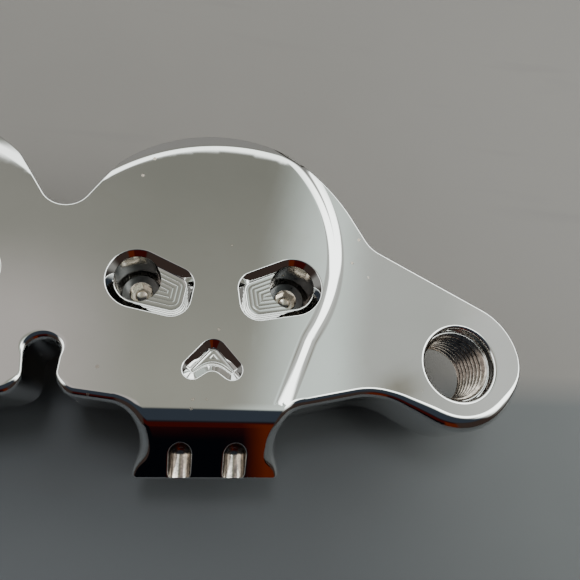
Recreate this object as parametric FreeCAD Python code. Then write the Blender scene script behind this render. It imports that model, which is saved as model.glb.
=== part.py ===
import FreeCAD
import Part

import math
import os

# Twin-skull mounting plate, in millimetres.
# X runs along the plate, Y points from the jaws to the crowns, Z is up out of the front face.
# The back face of the plate lies at Z = 0 and the plate is symmetric about X = 0.

# ---- plate ----
plate_thickness = 20.0
ear_step = 1.0
front_round = 1.6
round_strips = 5
back_chamfer = 0.5

# ---- skull outline, right half: circle centres and radii joined by tangent lines ----
skull_x = 38.1
crown_x = 38.4
crown_y = 4.8
crown_radius = 37.4
saddle_y = 24.0
saddle_radius = 6.1
shoulder_radius = 10.0
shoulder_angle = 133.0
temple_radius = 50.0
temple_angle = 50.0
neck_x = 84.8
neck_y = 18.8
neck_radius = 9.0
ear_x = 100.3
ear_y = -18.2
ear_radius = 16.7
hump_x = 76.5
hump_y = -44.9
hump_radius = 18.0
jaw_half_width = 17.4
jaw_bottom = -46.0
jaw_corner_radius = 1.3
rounded_corner_radius = 2.6
waist_half_width = 15.9
cove_y = -37.7
cove_radius = 8.0
cheek_x = 8.5
cheek_y = -23.9
cheek_radius = 5.0
arch_y = -19.75
arch_radius = 3.8

# ---- forehead bevel: everything outside this circle slopes down to the crown ----
brow_x = 41.6
brow_y = -12.6
brow_radius = 50.7
brow_slope = 22.0
brow_from_y = 22.0

# ---- smooth step from the skull face down to the ear face, along temple and cheek ----
step_width = 5.0
step_strips = 6
step_circles = [
    (28.3, 9.5, 40.0, 1),
    (72.0, -18.8, 12.0, -1),
    (34.0, -62.0, 8.0, 1),
    (-20.0, -62.0, 8.0, 1),
]
ear_side_x = 30.0

# ---- jaw: the face rolls over into a slope, cut by two flutes that part the teeth ----
jaw_roll_start = -29.5
jaw_roll_radius = 8.0
jaw_slope = 42.0
jaw_square_from = -41.0
flute_offset = 6.4
flute_radius = 2.6
flute_top = -38.1
flute_floor = 6.5

# ---- eye pockets: a round lobe over the screw and a smaller, squarer lobe towards the nose ----
eye_y = -0.5
eye_radius = 7.4
eye_lobe_inset = 8.3
eye_lobe_y = -4.7
eye_lobe_radius = 4.85
eye_corner_inset = 9.5
eye_corner_y = -1.3
eye_corner_radius = 4.2
eye_depth = 2.2
eye_wall_run = 1.9

# ---- nose pocket ----
nose_top_y = -18.2
nose_top_radius = 3.5
nose_leg_offset = 4.6
nose_leg_y = -21.9
nose_leg_radius = 2.5
nose_notch_y = -25.0
nose_notch_radius = 2.7
nose_depth = 1.8
nose_wall_run = 1.95

# ---- four M6 screws in one line, all at the same pitch ----
screw_pitch = 38.1
counterbore_radius = 5.6
counterbore_floor = 3.0
clearance_radius = 3.3
shank_radius = 3.0
shank_length = 16.0
shank_chamfer = 0.7
screw_neck_radius = 2.65
screw_neck_length = 3.4
head_radius = 5.0
head_height = 4.0
head_chamfer = 0.35
socket_across_flats = 5.0
socket_depth = 2.3
socket_mouth_radius = 3.0
guide_hole_radius = 1.4
guide_hole_depth = 3.1

# ---- threaded ear holes: M18 x 2 minor diameter under a rounded recess ----
ear_thread_radius = 7.92
ear_recess_radius = 9.2
ear_recess_depth = 3.4
ear_mouth_round = 1.1
ear_ledge_chamfer = 0.9
ear_back_chamfer = 0.3

above = 5.0
side_space = 70.0
pocket_above = 0.5
touch_gap = 0.001


def heading_point(circle, heading):
    x, y, radius, side = circle
    return FreeCAD.Vector(
        x - side * radius * math.sin(heading),
        y + side * radius * math.cos(heading),
        0,
    )


def tangent_heading(first, second):
    dx = second[0] - first[0]
    dy = second[1] - first[1]
    gap = second[3] * second[2] - first[3] * first[2]
    ratio = max(-1.0, min(1.0, gap / math.hypot(dx, dy)))
    return math.atan2(dy, dx) + math.asin(ratio)


def belt(circles):
    """Closed clockwise outline round a ring of circles; side 1 is convex, side -1 is concave."""
    count = len(circles)
    headings = [tangent_heading(circles[i], circles[(i + 1) % count]) for i in range(count)]
    starts = [heading_point(circles[i], headings[i - 1]) for i in range(count)]
    edges = []
    for i in range(count):
        circle = circles[i]
        side = circle[3]
        turn = (side * (headings[i - 1] - headings[i])) % (2 * math.pi)
        middle = heading_point(circle, headings[i - 1] - side * turn / 2)
        end = heading_point(circle, headings[i])
        following = starts[(i + 1) % count]
        touching = end.distanceToPoint(following) < touch_gap
        if touching:
            end = following
        edges.append(Part.Arc(starts[i], middle, end).toShape())
        if not touching:
            edges.append(Part.makeLine(end, following))
    return Part.Wire(edges)


def at_height(wire, z):
    moved = wire.copy()
    moved.translate(FreeCAD.Vector(0, 0, z))
    return moved


def inner_circle(outer_x, outer_y, outer_radius, radius, angle):
    """Centre of a circle that touches the outer circle from inside at the given angle."""
    reach = outer_radius - radius
    turn = math.radians(angle)
    return outer_x + reach * math.cos(turn), outer_y + reach * math.sin(turn)


def plate_circles(corner_radius, inset):
    """Ring of circles for the plate's outline, moved in from the side walls by the inset."""
    shoulder = inner_circle(crown_x, crown_y, crown_radius, shoulder_radius, shoulder_angle)
    temple = inner_circle(crown_x, crown_y, crown_radius, temple_radius, temple_angle)
    corner = jaw_half_width - corner_radius
    corner_y = jaw_bottom + corner_radius
    cove = waist_half_width + cove_radius
    right = [
        (shoulder[0], shoulder[1], shoulder_radius, 1),
        (crown_x, crown_y, crown_radius, 1),
        (temple[0], temple[1], temple_radius, 1),
        (neck_x, neck_y, neck_radius, -1),
        (ear_x, ear_y, ear_radius, 1),
        (hump_x, hump_y, hump_radius, -1),
        (skull_x + cove, cove_y, cove_radius, -1),
        (skull_x + corner, corner_y, corner_radius, 1),
        (skull_x - corner, corner_y, corner_radius, 1),
        (skull_x - cove, cove_y, cove_radius, -1),
        (cheek_x, cheek_y, cheek_radius, 1),
    ]
    left = [(-x, y, radius, side) for x, y, radius, side in reversed(right)]
    ring = [(0, saddle_y, saddle_radius, -1)] + right + [(0, arch_y, arch_radius, -1)] + left
    return [(x, y, radius - side * inset, side) for x, y, radius, side in ring]


def both_sides(shape):
    return [shape, shape.mirror(FreeCAD.Vector(0, 0, 0), FreeCAD.Vector(1, 0, 0))]


def revolved(profile, x, y):
    """Solid turned about a vertical axis at x, y from (radius, height) points."""
    points = [FreeCAD.Vector(radius, 0, height) for radius, height in profile]
    face = Part.Face(Part.makePolygon(points + points[:1]))
    solid = face.revolve(FreeCAD.Vector(0, 0, 0), FreeCAD.Vector(0, 0, 1), 360)
    solid.translate(FreeCAD.Vector(x, y, 0))
    return solid


def brow_cutter():
    """Cone-shaped shaving that slopes the face down outside the brow circle."""
    reach = 10.0
    drop = reach * math.tan(math.radians(brow_slope))
    profile = [
        (brow_radius, plate_thickness),
        (brow_radius + reach, plate_thickness - drop),
        (brow_radius + reach, plate_thickness + above),
        (brow_radius, plate_thickness + above),
    ]
    cone = revolved(profile, brow_x, brow_y)
    crown_side = Part.makeBox(side_space, side_space, side_space, FreeCAD.Vector(0, brow_from_y, 0))
    return cone.common(crown_side)


def ear_side(low, high):
    """Box over the ear end of the right skull between two heights."""
    corner = FreeCAD.Vector(ear_side_x, -side_space, low)
    return Part.makeBox(2 * side_space, 2 * side_space, high - low, corner)


def step_ring(inset):
    """Closed line inside which the plate keeps its full height."""
    circles = [(x, y, radius - side * inset, side) for x, y, radius, side in step_circles]
    return belt(circles)


def step_cutter():
    """Shaving that drops the ear face, with an S-shaped flank round the skull."""
    turn = 2 * math.atan2(ear_step, step_width)
    bend = step_width / 2 / math.sin(turn)
    levels = [(-step_width / 2, plate_thickness - ear_step)]
    for k in range(1, step_strips + 1):
        share = k / step_strips
        across = step_width * min(share, 1 - share)
        bow = bend - math.sqrt(bend * bend - across * across)
        rise = bow if share <= 0.5 else ear_step - bow
        levels.append((step_width * (share - 0.5), plate_thickness - ear_step + rise))
    levels.append((step_width / 2, plate_thickness + above))
    dome = Part.makeLoft([at_height(step_ring(inset), z) for inset, z in levels], True, True)
    return ear_side(plate_thickness - ear_step, plate_thickness + above).cut(dome)


def jaw_cutter():
    """Prism that rolls the face over and slopes it down to the teeth."""
    slope = math.radians(jaw_slope)
    top = plate_thickness
    run = jaw_roll_radius * math.sin(slope)
    drop = jaw_roll_radius * (1 - math.cos(slope))
    reach = jaw_roll_start - run - jaw_bottom + above
    half_run = jaw_roll_radius * math.sin(slope / 2)
    half_drop = jaw_roll_radius * (1 - math.cos(slope / 2))
    left = skull_x - waist_half_width - cove_radius

    def spot(y, z):
        return FreeCAD.Vector(left, y, z)

    start = spot(jaw_roll_start, top)
    middle = spot(jaw_roll_start - half_run, top - half_drop)
    rolled = spot(jaw_roll_start - run, top - drop)
    low = spot(jaw_roll_start - run - reach, top - drop - reach * math.tan(slope))
    edges = [
        Part.Arc(start, middle, rolled).toShape(),
        Part.makeLine(rolled, low),
        Part.makeLine(low, spot(low.y, top + above)),
        Part.makeLine(spot(low.y, top + above), spot(jaw_roll_start, top + above)),
        Part.makeLine(spot(jaw_roll_start, top + above), start),
    ]
    width = 2 * (waist_half_width + cove_radius)
    return Part.Face(Part.Wire(edges)).extrude(FreeCAD.Vector(width, 0, 0))


def flute(x):
    """Round-bottomed slot between two teeth, open at the jaw's lower edge."""
    centre_z = flute_floor + flute_radius
    centre_y = flute_top - flute_radius
    length = centre_y - jaw_bottom + above
    start = FreeCAD.Vector(x, centre_y - length, centre_z)
    bed = Part.makeCylinder(flute_radius, length, start, FreeCAD.Vector(0, 1, 0))
    end_ball = Part.makeSphere(flute_radius, FreeCAD.Vector(x, centre_y, centre_z))
    end_wall = Part.makeCylinder(flute_radius, plate_thickness, FreeCAD.Vector(x, centre_y, centre_z))
    slot = Part.makeBox(2 * flute_radius, length, plate_thickness, start - FreeCAD.Vector(flute_radius, 0, 0))
    return bed.fuse([end_ball, end_wall, slot])


def tapered_pocket(circles, depth, run):
    """Pocket whose walls lean in by run over depth, closed above the face."""
    inner = [(x, y, radius - side * run, side) for x, y, radius, side in circles]
    lip = run * pocket_above / depth
    outer = [(x, y, radius + side * lip, side) for x, y, radius, side in circles]
    low = at_height(belt(inner), plate_thickness - depth)
    high = at_height(belt(outer), plate_thickness + pocket_above)
    return Part.makeLoft([low, high], True, True)


def eye_pocket(direction):
    circles = [
        (skull_x + direction * screw_pitch / 2, eye_y, eye_radius, 1),
        (skull_x + direction * (screw_pitch / 2 - eye_lobe_inset), eye_lobe_y, eye_lobe_radius, 1),
        (skull_x + direction * (screw_pitch / 2 - eye_corner_inset), eye_corner_y, eye_corner_radius, 1),
    ]
    return tapered_pocket(circles[::direction], eye_depth, eye_wall_run)


def nose_pocket():
    circles = [
        (skull_x, nose_top_y, nose_top_radius, 1),
        (skull_x + nose_leg_offset, nose_leg_y, nose_leg_radius, 1),
        (skull_x, nose_notch_y, nose_notch_radius, -1),
        (skull_x - nose_leg_offset, nose_leg_y, nose_leg_radius, 1),
    ]
    return tapered_pocket(circles, nose_depth, nose_wall_run)


def screw_hole(x):
    bore = Part.makeCylinder(clearance_radius, plate_thickness, FreeCAD.Vector(x, 0, -above))
    counterbore = Part.makeCylinder(
        counterbore_radius, plate_thickness, FreeCAD.Vector(x, 0, counterbore_floor)
    )
    return bore.fuse(counterbore)


def ear_hole():
    """Threaded hole with a rounded mouth, a recess, a chamfered ledge and a chamfered exit."""
    face = plate_thickness - ear_step
    ledge = face - ear_recess_depth
    mouth = ear_recess_radius + ear_mouth_round
    diagonal = ear_mouth_round * math.sqrt(0.5)

    def spot(radius, height):
        return FreeCAD.Vector(radius, 0, height)

    points = [
        spot(0, -above),
        spot(ear_thread_radius + ear_back_chamfer, -above),
        spot(ear_thread_radius + ear_back_chamfer, 0),
        spot(ear_thread_radius, ear_back_chamfer),
        spot(ear_thread_radius, ledge - ear_ledge_chamfer),
        spot(ear_thread_radius + ear_ledge_chamfer, ledge),
        spot(ear_recess_radius, ledge),
        spot(ear_recess_radius, face - ear_mouth_round),
    ]
    edges = [Part.makeLine(points[i], points[i + 1]) for i in range(len(points) - 1)]
    round_middle = spot(mouth - diagonal, face - ear_mouth_round + diagonal)
    edges.append(Part.Arc(points[-1], round_middle, spot(mouth, face)).toShape())
    edges.append(Part.makeLine(spot(mouth, face), spot(mouth, face + above)))
    edges.append(Part.makeLine(spot(mouth, face + above), spot(0, face + above)))
    edges.append(Part.makeLine(spot(0, face + above), points[0]))
    hole = Part.Face(Part.Wire(edges)).revolve(FreeCAD.Vector(0, 0, 0), FreeCAD.Vector(0, 0, 1), 360)
    hole.translate(FreeCAD.Vector(ear_x, ear_y, 0))
    return hole


def slab(height, corner_radius, edge_round):
    """Plate blank of one height: chamfered back edge, front edge rounded in narrow strips."""
    levels = [(back_chamfer, 0.0), (0.0, back_chamfer)]
    for k in range(round_strips + 1):
        lean = math.pi / 2 * k / round_strips
        inset = edge_round * (1 - math.cos(lean))
        levels.append((inset, height - edge_round + edge_round * math.sin(lean)))
    wires = [at_height(belt(plate_circles(corner_radius, inset)), z) for inset, z in levels]
    return Part.makeLoft(wires, True, True)


def ear_zone():
    """Space beyond the foot of the step, where the plate has the lower ear height."""
    height = plate_thickness + 2 * above
    pillar = Part.Face(at_height(step_ring(-step_width / 2), -above))
    return ear_side(-above, height - above).cut(pillar.extrude(FreeCAD.Vector(0, 0, height)))


def skull_plate():
    """One billet: two skulls, two threaded ears, pockets, flutes and screw holes."""
    zones = both_sides(ear_zone())
    core = slab(plate_thickness, rounded_corner_radius, front_round)
    core = core.cut(both_sides(step_cutter())).cut(zones)
    low_slab = slab(plate_thickness - ear_step, rounded_corner_radius, front_round)
    ears = [low_slab.common(zone) for zone in zones]
    jaw_space = Part.makeBox(
        2 * side_space, side_space, side_space,
        FreeCAD.Vector(-side_space, jaw_square_from - side_space, -above),
    )
    jaws = slab(plate_thickness, jaw_corner_radius, back_chamfer).common(jaw_space)
    body = core.fuse(ears + [jaws])
    tools = both_sides(jaw_cutter()) + both_sides(brow_cutter())
    body = body.cut(tools)
    tools = both_sides(eye_pocket(1)) + both_sides(eye_pocket(-1)) + both_sides(nose_pocket())
    body = body.cut(tools)
    tools = both_sides(flute(skull_x + flute_offset)) + both_sides(flute(skull_x - flute_offset))
    body = body.cut(tools)
    tools = both_sides(screw_hole(skull_x + screw_pitch / 2))
    tools += both_sides(screw_hole(skull_x - screw_pitch / 2))
    return body.cut(tools + both_sides(ear_hole()))


def socket_screw(x):
    """Low-head socket cap screw seated in its counterbore, with a guide hole under the socket."""
    top = counterbore_floor + head_height
    tip = counterbore_floor - shank_length
    profile = [
        (0, tip),
        (shank_radius - shank_chamfer, tip),
        (shank_radius, tip + shank_chamfer),
        (shank_radius, counterbore_floor - screw_neck_length),
        (screw_neck_radius, counterbore_floor - screw_neck_length),
        (screw_neck_radius, counterbore_floor),
        (head_radius, counterbore_floor),
        (head_radius, top - head_chamfer),
        (head_radius - head_chamfer, top),
        (0, top),
    ]
    screw = revolved(profile, 0, 0)
    corner = socket_across_flats / 2 / math.cos(math.pi / 6)
    corners = [
        FreeCAD.Vector(corner * math.cos(k * math.pi / 3), corner * math.sin(k * math.pi / 3), top + above)
        for k in range(6)
    ]
    socket = Part.Face(Part.makePolygon(corners + corners[:1]))
    socket = socket.extrude(FreeCAD.Vector(0, 0, -above - socket_depth))
    flat = socket_across_flats / 2
    mouth_depth = (socket_mouth_radius - flat) / 2
    mouth = Part.makeCone(flat, socket_mouth_radius, mouth_depth, FreeCAD.Vector(0, 0, top - mouth_depth))
    guide = Part.makeCylinder(guide_hole_radius, above, FreeCAD.Vector(0, 0, top - guide_hole_depth))
    screw = screw.cut([socket, mouth, guide])
    screw.translate(FreeCAD.Vector(x, 0, 0))
    return screw


screw_places = {
    "screw_left_outer": -skull_x - screw_pitch / 2,
    "screw_left_inner": -skull_x + screw_pitch / 2,
    "screw_right_inner": skull_x - screw_pitch / 2,
    "screw_right_outer": skull_x + screw_pitch / 2,
}

os.makedirs("parts", exist_ok=True)
skull_plate().exportStep("parts/skull_plate.step")
for name, x in screw_places.items():
    socket_screw(x).exportStep("parts/" + name + ".step")
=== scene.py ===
import math

import bpy
import numpy as np
from mathutils import Matrix, Vector
from mathutils.geometry import delaunay_2d_cdt


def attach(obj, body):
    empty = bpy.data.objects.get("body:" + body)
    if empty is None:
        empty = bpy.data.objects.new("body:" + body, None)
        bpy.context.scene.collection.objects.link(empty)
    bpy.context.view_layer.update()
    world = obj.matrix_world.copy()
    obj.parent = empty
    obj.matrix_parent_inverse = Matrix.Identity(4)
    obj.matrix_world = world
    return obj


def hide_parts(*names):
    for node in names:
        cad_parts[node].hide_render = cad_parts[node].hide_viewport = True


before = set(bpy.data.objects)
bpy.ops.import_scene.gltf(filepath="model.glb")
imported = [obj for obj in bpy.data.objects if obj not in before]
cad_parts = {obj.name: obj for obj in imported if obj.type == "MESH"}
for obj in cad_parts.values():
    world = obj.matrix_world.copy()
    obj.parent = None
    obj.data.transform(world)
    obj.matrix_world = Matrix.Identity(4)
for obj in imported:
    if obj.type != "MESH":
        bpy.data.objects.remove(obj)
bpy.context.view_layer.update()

# Lengths below are millimetres in the CAD frame. MM turns them into metres when a mesh is made.
MM = 0.001

# ---- plate ----
TOP = 20.0
EAR_STEP = 1.0
BACK_ROUND = 0.5

# ---- front edge radius: far and near side of the outline, under the ears, jaw sides, jaw bottom ----
FAR_ROUND, NEAR_ROUND, EAR_ROUND, JAW_SIDE_ROUND, JAW_ROUND = 0.55, 2.2, 3.8, 3.6, 1.1

# ---- outline, right half: centre x, centre y, radius, side (1 convex, -1 concave) ----
SKULL_X = 38.1
CROWN = (38.4, 4.8, 37.4)
SADDLE = (0.0, 24.0, 6.1, -1)
SHOULDER_RADIUS, SHOULDER_ANGLE = 10.0, 133.0
TEMPLE_RADIUS, TEMPLE_ANGLE = 50.0, 50.0
NECK = (84.8, 18.8, 9.0, -1)
EAR_X, EAR_Y = 100.3, -18.2
EAR = (EAR_X, EAR_Y, 16.7, 1)
HUMP = (76.5, -44.9, 18.0, -1)
JAW_HALF_WIDTH, JAW_BOTTOM, JAW_CORNER = 17.4, -46.0, 1.3
WAIST_HALF_WIDTH, COVE_Y, COVE_RADIUS = 15.9, -37.7, 8.0
CHEEK = (8.5, -23.9, 5.0, 1)
ARCH = (0.0, -19.75, 3.8, -1)

# ---- front surface ----
BROW_X, BROW_Y, BROW_RADIUS = 41.6, -12.6, 50.7
BROW_SLOPE, BROW_SOFT = math.tan(math.radians(22.0)), 0.7
BROW_FROM_Y, BROW_FADE = 20.0, 6.0
STEP_WIDTH = 5.0
STEP_CIRCLES = [
    (28.3, 9.5, 40.0, 1),
    (72.0, -18.8, 12.0, -1),
    (34.0, -62.0, 8.0, 1),
    (-20.0, -62.0, 8.0, 1),
]
JAW_ROLL_START, JAW_ROLL_RADIUS, JAW_SLOPE = -29.5, 8.0, math.radians(42.0)

# ---- flutes between the teeth ----
FLUTE_OFFSET, FLUTE_RADIUS, FLUTE_TOP, FLUTE_FLOOR, FLUTE_ROUND = 6.4, 2.6, -38.1, 6.5, 0.35

# ---- pockets; ridges are (first cut's distance from the rim, pitch, cutter radius) ----
EYE_OFFSET = 19.05
EYE_BIG = (EYE_OFFSET, -0.5, 7.4, 1)
EYE_LOBE = (EYE_OFFSET - 8.3, -4.7, 4.85, 1)
EYE_CORNER = (EYE_OFFSET - 9.5, -1.3, 4.2, 1)
EYE_DEPTH, EYE_RUN, EYE_RIDGES = 2.2, 1.9, (2.65, 1.0, 2.4)
NOSE_CIRCLES = [(0.0, -18.2, 3.5, 1), (4.6, -21.9, 2.5, 1), (0.0, -25.0, 2.7, -1), (-4.6, -21.9, 2.5, 1)]
NOSE_DEPTH, NOSE_RUN, NOSE_RIDGES = 1.8, 1.95, (2.0, 0.9, 1.6)
POCKET_LIP, POCKET_FILLET, RIDGE_STEP = 0.45, 0.5, 0.08

# ---- screw holes ----
BORE_RADIUS, BORE_FLOOR = 5.6, 3.0
BORE_EDGE, BORE_FILLET = 0.12, 0.25
CLEARANCE_RADIUS, CLEARANCE_MOUTH, CLEARANCE_EXIT = 3.3, 0.25, 0.3

# ---- ear hole ----
THREAD_MINOR, THREAD_PITCH, THREAD_DEPTH = 7.92, 2.0, 1.08
RECESS_RADIUS, RECESS_DEPTH, RECESS_FILLET = 9.2, 3.4, 0.3
MOUTH_ROUND, LEDGE_CHAMFER, EXIT_CHAMFER = 1.1, 0.97, 0.3

# ---- how dull and dark a surface is, from 0 polished to 1 darkest: on the plate this is grime plus painted shade in the counterbores, flutes and thread; on the screws it picks oiled dark steel over the bright socket ----
POLISHED, HOLE_DARK, FLUTE_DARK, THREAD_DARK = 0.0, 0.55, 0.85, 1.0


# ---- outline geometry ----

def touching_circle(outer, radius, angle):
    """Convex circle that touches the outer circle from inside at the given angle."""
    reach, turn = outer[2] - radius, math.radians(angle)
    return (outer[0] + reach * math.cos(turn), outer[1] + reach * math.sin(turn), radius, 1)


def plate_circles():
    corner, corner_y = JAW_HALF_WIDTH - JAW_CORNER, JAW_BOTTOM + JAW_CORNER
    cove = WAIST_HALF_WIDTH + COVE_RADIUS
    return [
        SADDLE,
        touching_circle(CROWN, SHOULDER_RADIUS, SHOULDER_ANGLE),
        (*CROWN, 1),
        touching_circle(CROWN, TEMPLE_RADIUS, TEMPLE_ANGLE),
        NECK,
        EAR,
        HUMP,
        (SKULL_X + cove, COVE_Y, COVE_RADIUS, -1),
        (SKULL_X + corner, corner_y, JAW_CORNER, 1),
        (SKULL_X - corner, corner_y, JAW_CORNER, 1),
        (SKULL_X - cove, COVE_Y, COVE_RADIUS, -1),
        CHEEK,
        ARCH,
    ]


def tangent_heading(first, second):
    dx, dy = second[0] - first[0], second[1] - first[1]
    ratio = (second[3] * second[2] - first[3] * first[2]) / math.hypot(dx, dy)
    return math.atan2(dy, dx) + math.asin(max(-1.0, min(1.0, ratio)))


def spot(circle, heading):
    """Point on a circle where a clockwise outline has this heading."""
    x, y, radius, side = circle
    return np.array([x - side * radius * math.sin(heading), y + side * radius * math.cos(heading)])


def belt_parts(circles, first_heading=None, last_heading=None):
    """Arcs and tangent lines of a clockwise belt: closed, or open between two given headings."""
    closed = first_heading is None
    count = len(circles)
    links = count if closed else count - 1
    headings = [tangent_heading(circles[i], circles[(i + 1) % count]) for i in range(links)]
    arrivals = [headings[-1] if closed else first_heading] + headings[: count - 1]
    leaves = headings if closed else headings + [last_heading]
    parts = []
    for i, circle in enumerate(circles):
        turn = (circle[3] * (arrivals[i] - leaves[i])) % (2 * math.pi)
        if turn > 2 * math.pi - 1e-6:
            turn = 0.0
        parts.append(("arc", circle, arrivals[i], circle[3] * turn))
        if i < links:
            start, end = spot(circle, headings[i]), spot(circles[(i + 1) % count], headings[i])
            if np.linalg.norm(end - start) > 1e-4:
                parts.append(("line", start, end, headings[i]))
    return parts


def belt_samples(parts, spacing, turn_step=math.radians(4.0)):
    """Points and outward normals along a belt, close enough for both spacing and turn."""
    points, normals = [], []
    for kind, a, b, c in parts:
        if kind == "arc":
            steps = max(1, math.ceil(abs(c) * a[2] / spacing), math.ceil(abs(c) / turn_step))
            headings = [b - c * k / steps for k in range(steps)]
            points += [spot(a, h) for h in headings]
        else:
            steps = max(1, math.ceil(np.linalg.norm(b - a) / spacing))
            headings = [c] * steps
            points += [a + (b - a) * k / steps for k in range(steps)]
        normals += [np.array([-math.sin(h), math.cos(h)]) for h in headings]
    return np.array(points), np.array(normals)


def belt_inside(parts, xy):
    """Signed distance to a closed belt, positive inside."""
    best = np.full(len(xy), 1e6)
    for kind, a, b, c in parts:
        if kind == "arc":
            away = xy - np.array(a[:2])
            heading = np.arctan2(-a[3] * away[:, 0], a[3] * away[:, 1])
            travel = (a[3] * (b - heading)) % (2 * math.pi)
            valid = (travel <= abs(c) + 1e-6) | (travel > 2 * math.pi - 1e-6)
            value = a[3] * (a[2] - np.hypot(away[:, 0], away[:, 1]))
        else:
            length = np.linalg.norm(b - a)
            along = (b - a) / length
            t = (xy - a) @ along
            valid = (t > -1e-6) & (t < length + 1e-6)
            value = -((xy - a) @ np.array([-along[1], along[0]]))
        closer = valid & (np.abs(value) < np.abs(best))
        best = np.where(closer, value, best)
    return best


# ---- heights ----

STEP_PARTS = belt_parts(STEP_CIRCLES)


def soft_above_zero(value, soft):
    """max(value, 0) with its corner rounded over the soft length."""
    return 0.5 * (value + np.sqrt(value * value + soft * soft))


def s_drop(share, depth, width):
    """Drop along an S made of two equal arcs, for share 0 to 1 of its width."""
    bend = width / 2 / math.sin(2 * math.atan2(depth, width))
    share = np.clip(share, 0.0, 1.0)
    across = width * np.minimum(share, 1 - share)
    bow = bend - np.sqrt(bend * bend - across * across)
    return np.where(share < 0.5, bow, depth - bow)


def front_height(xy):
    """Height of the polished front surface, before edges are rounded and pockets cut."""
    x, y = xy[:, 0], xy[:, 1]
    outside = -belt_inside(STEP_PARTS, xy)
    step = s_drop(outside / STEP_WIDTH + 0.5, EAR_STEP, STEP_WIDTH)
    beyond = np.hypot(x - BROW_X, y - BROW_Y) - BROW_RADIUS
    brow = soft_above_zero(beyond, BROW_SOFT) * BROW_SLOPE * np.clip((y - BROW_FROM_Y) / BROW_FADE, 0, 1)
    below = JAW_ROLL_START - y
    run = JAW_ROLL_RADIUS * math.sin(JAW_SLOPE)
    arc = np.clip(below, 0, run)
    roll = JAW_ROLL_RADIUS - np.sqrt(JAW_ROLL_RADIUS ** 2 - arc ** 2)
    jaw = roll + np.maximum(below - run, 0) * math.tan(JAW_SLOPE)
    jaw = np.where(np.abs(x - SKULL_X) < WAIST_HALF_WIDTH + COVE_RADIUS, jaw, 0.0)
    return TOP - step - brow - jaw


def surface_normals(height, xy, delta=0.01):
    dx = np.array([delta, 0.0])
    dy = np.array([0.0, delta])
    slope_x = (height(xy + dx) - height(xy - dx)) / (2 * delta)
    slope_y = (height(xy + dy) - height(xy - dy)) / (2 * delta)
    normal = np.stack([-slope_x, -slope_y, np.ones(len(xy))], 1)
    return normal / np.linalg.norm(normal, axis=1)[:, None]


# ---- mesh building ----

def placed(name, data):
    """New object in the scene."""
    obj = bpy.data.objects.new(name, data)
    bpy.context.scene.collection.objects.link(obj)
    return obj


class Skin:
    """Collects patches of vertices with exact normals and turns them into one mesh."""

    def __init__(self):
        self.points, self.normals, self.faces, self.count = [], [], [], 0
        self.dark, self.tones = POLISHED, []

    def add(self, points, normals, faces):
        points, normals, faces = np.asarray(points, float), np.asarray(normals, float), np.asarray(faces, int)
        first, second, third = (points[faces[:, k]] for k in (0, 1, faces.shape[1] - 1))
        facing = np.einsum("ij,ij->i", np.cross(second - first, third - first), normals[faces[:, 0]])
        faces = np.where((facing < 0)[:, None], faces[:, ::-1], faces)
        self.points.append(points)
        self.normals.append(normals)
        self.tones += [self.dark] * len(points)
        self.faces += (faces + self.count).tolist()
        self.count += len(points)

    def grid(self, points, normals, wrap=False):
        """Patch of quads from rows of points and their normals."""
        points, normals = np.array(points), np.array(normals)
        rows, columns = points.shape[:2]
        index = np.arange(rows * columns).reshape(rows, columns)
        if wrap:
            index = np.concatenate([index, index[:, :1]], 1)
        quads = np.stack([index[:-1, :-1], index[:-1, 1:], index[1:, 1:], index[1:, :-1]], -1)
        self.add(points.reshape(-1, 3), normals.reshape(-1, 3), quads.reshape(-1, 4))

    def mirrored(self):
        flip = np.array([-1.0, 1.0, 1.0])
        points, normals = np.concatenate(self.points) * flip, np.concatenate(self.normals) * flip
        self.faces += [[k + self.count for k in reversed(face)] for face in self.faces]
        self.points.append(points)
        self.normals.append(normals)
        self.tones += self.tones
        self.count += len(points)

    def build(self, name, material):
        points, normals = np.concatenate(self.points), np.concatenate(self.normals)
        mesh = bpy.data.meshes.new(name)
        mesh.from_pydata((points * MM).tolist(), [], self.faces)
        mesh.materials.append(material)
        tone = mesh.attributes.new("bore", "FLOAT", "POINT")
        tone.data.foreach_set("value", self.tones)
        mesh.shade_smooth()
        mesh.normals_split_custom_set_from_vertices(normals.tolist())
        return placed(name, mesh)


def unit(vectors):
    return vectors / np.linalg.norm(vectors, axis=-1, keepdims=True)


def flat_fill(outer, holes, inner_points):
    """Triangles that fill a closed outline with holes, using extra points inside it."""
    loops = [outer] + holes
    coords = np.concatenate(loops + [inner_points])
    edges, start = [], 0
    for loop in loops:
        size = len(loop)
        edges += [(start + k, start + (k + 1) % size) for k in range(size)]
        start += size
    found, _, tris, _, _, _ = delaunay_2d_cdt([Vector(c) for c in coords.tolist()], edges, [], 1, 1e-5)
    found, tris = np.array([tuple(v) for v in found]), np.array(tris)
    centres = found[tris].mean(1)
    keep = np.ones(len(tris), bool)
    for hole in holes:
        keep &= ~inside_loop(hole, centres)
    return found, tris[keep]


def inside_loop(loop, xy):
    """True for points inside a closed loop, by counting crossings."""
    crossings = np.zeros(len(xy), int)
    box = (xy >= loop.min(0)).all(1) & (xy <= loop.max(0)).all(1)
    inner = xy[box]
    count = np.zeros(len(inner), int)
    for a, b in zip(loop, np.roll(loop, -1, 0)):
        if a[1] != b[1]:
            span = (a[1] > inner[:, 1]) != (b[1] > inner[:, 1])
            cross = a[0] + (inner[:, 1] - a[1]) * (b[0] - a[0]) / (b[1] - a[1])
            count += span & (cross > inner[:, 0])
    crossings[box] = count
    return crossings % 2 == 1


def turned(first, second, share):
    """Unit normals turned from first towards second."""
    angle = np.arccos(np.clip((first * second).sum(-1, keepdims=True), -1, 1))
    safe = np.maximum(np.sin(angle), 1e-9)
    return unit(np.sin((1 - share) * angle) / safe * first + np.sin(share * angle) / safe * second)


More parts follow.
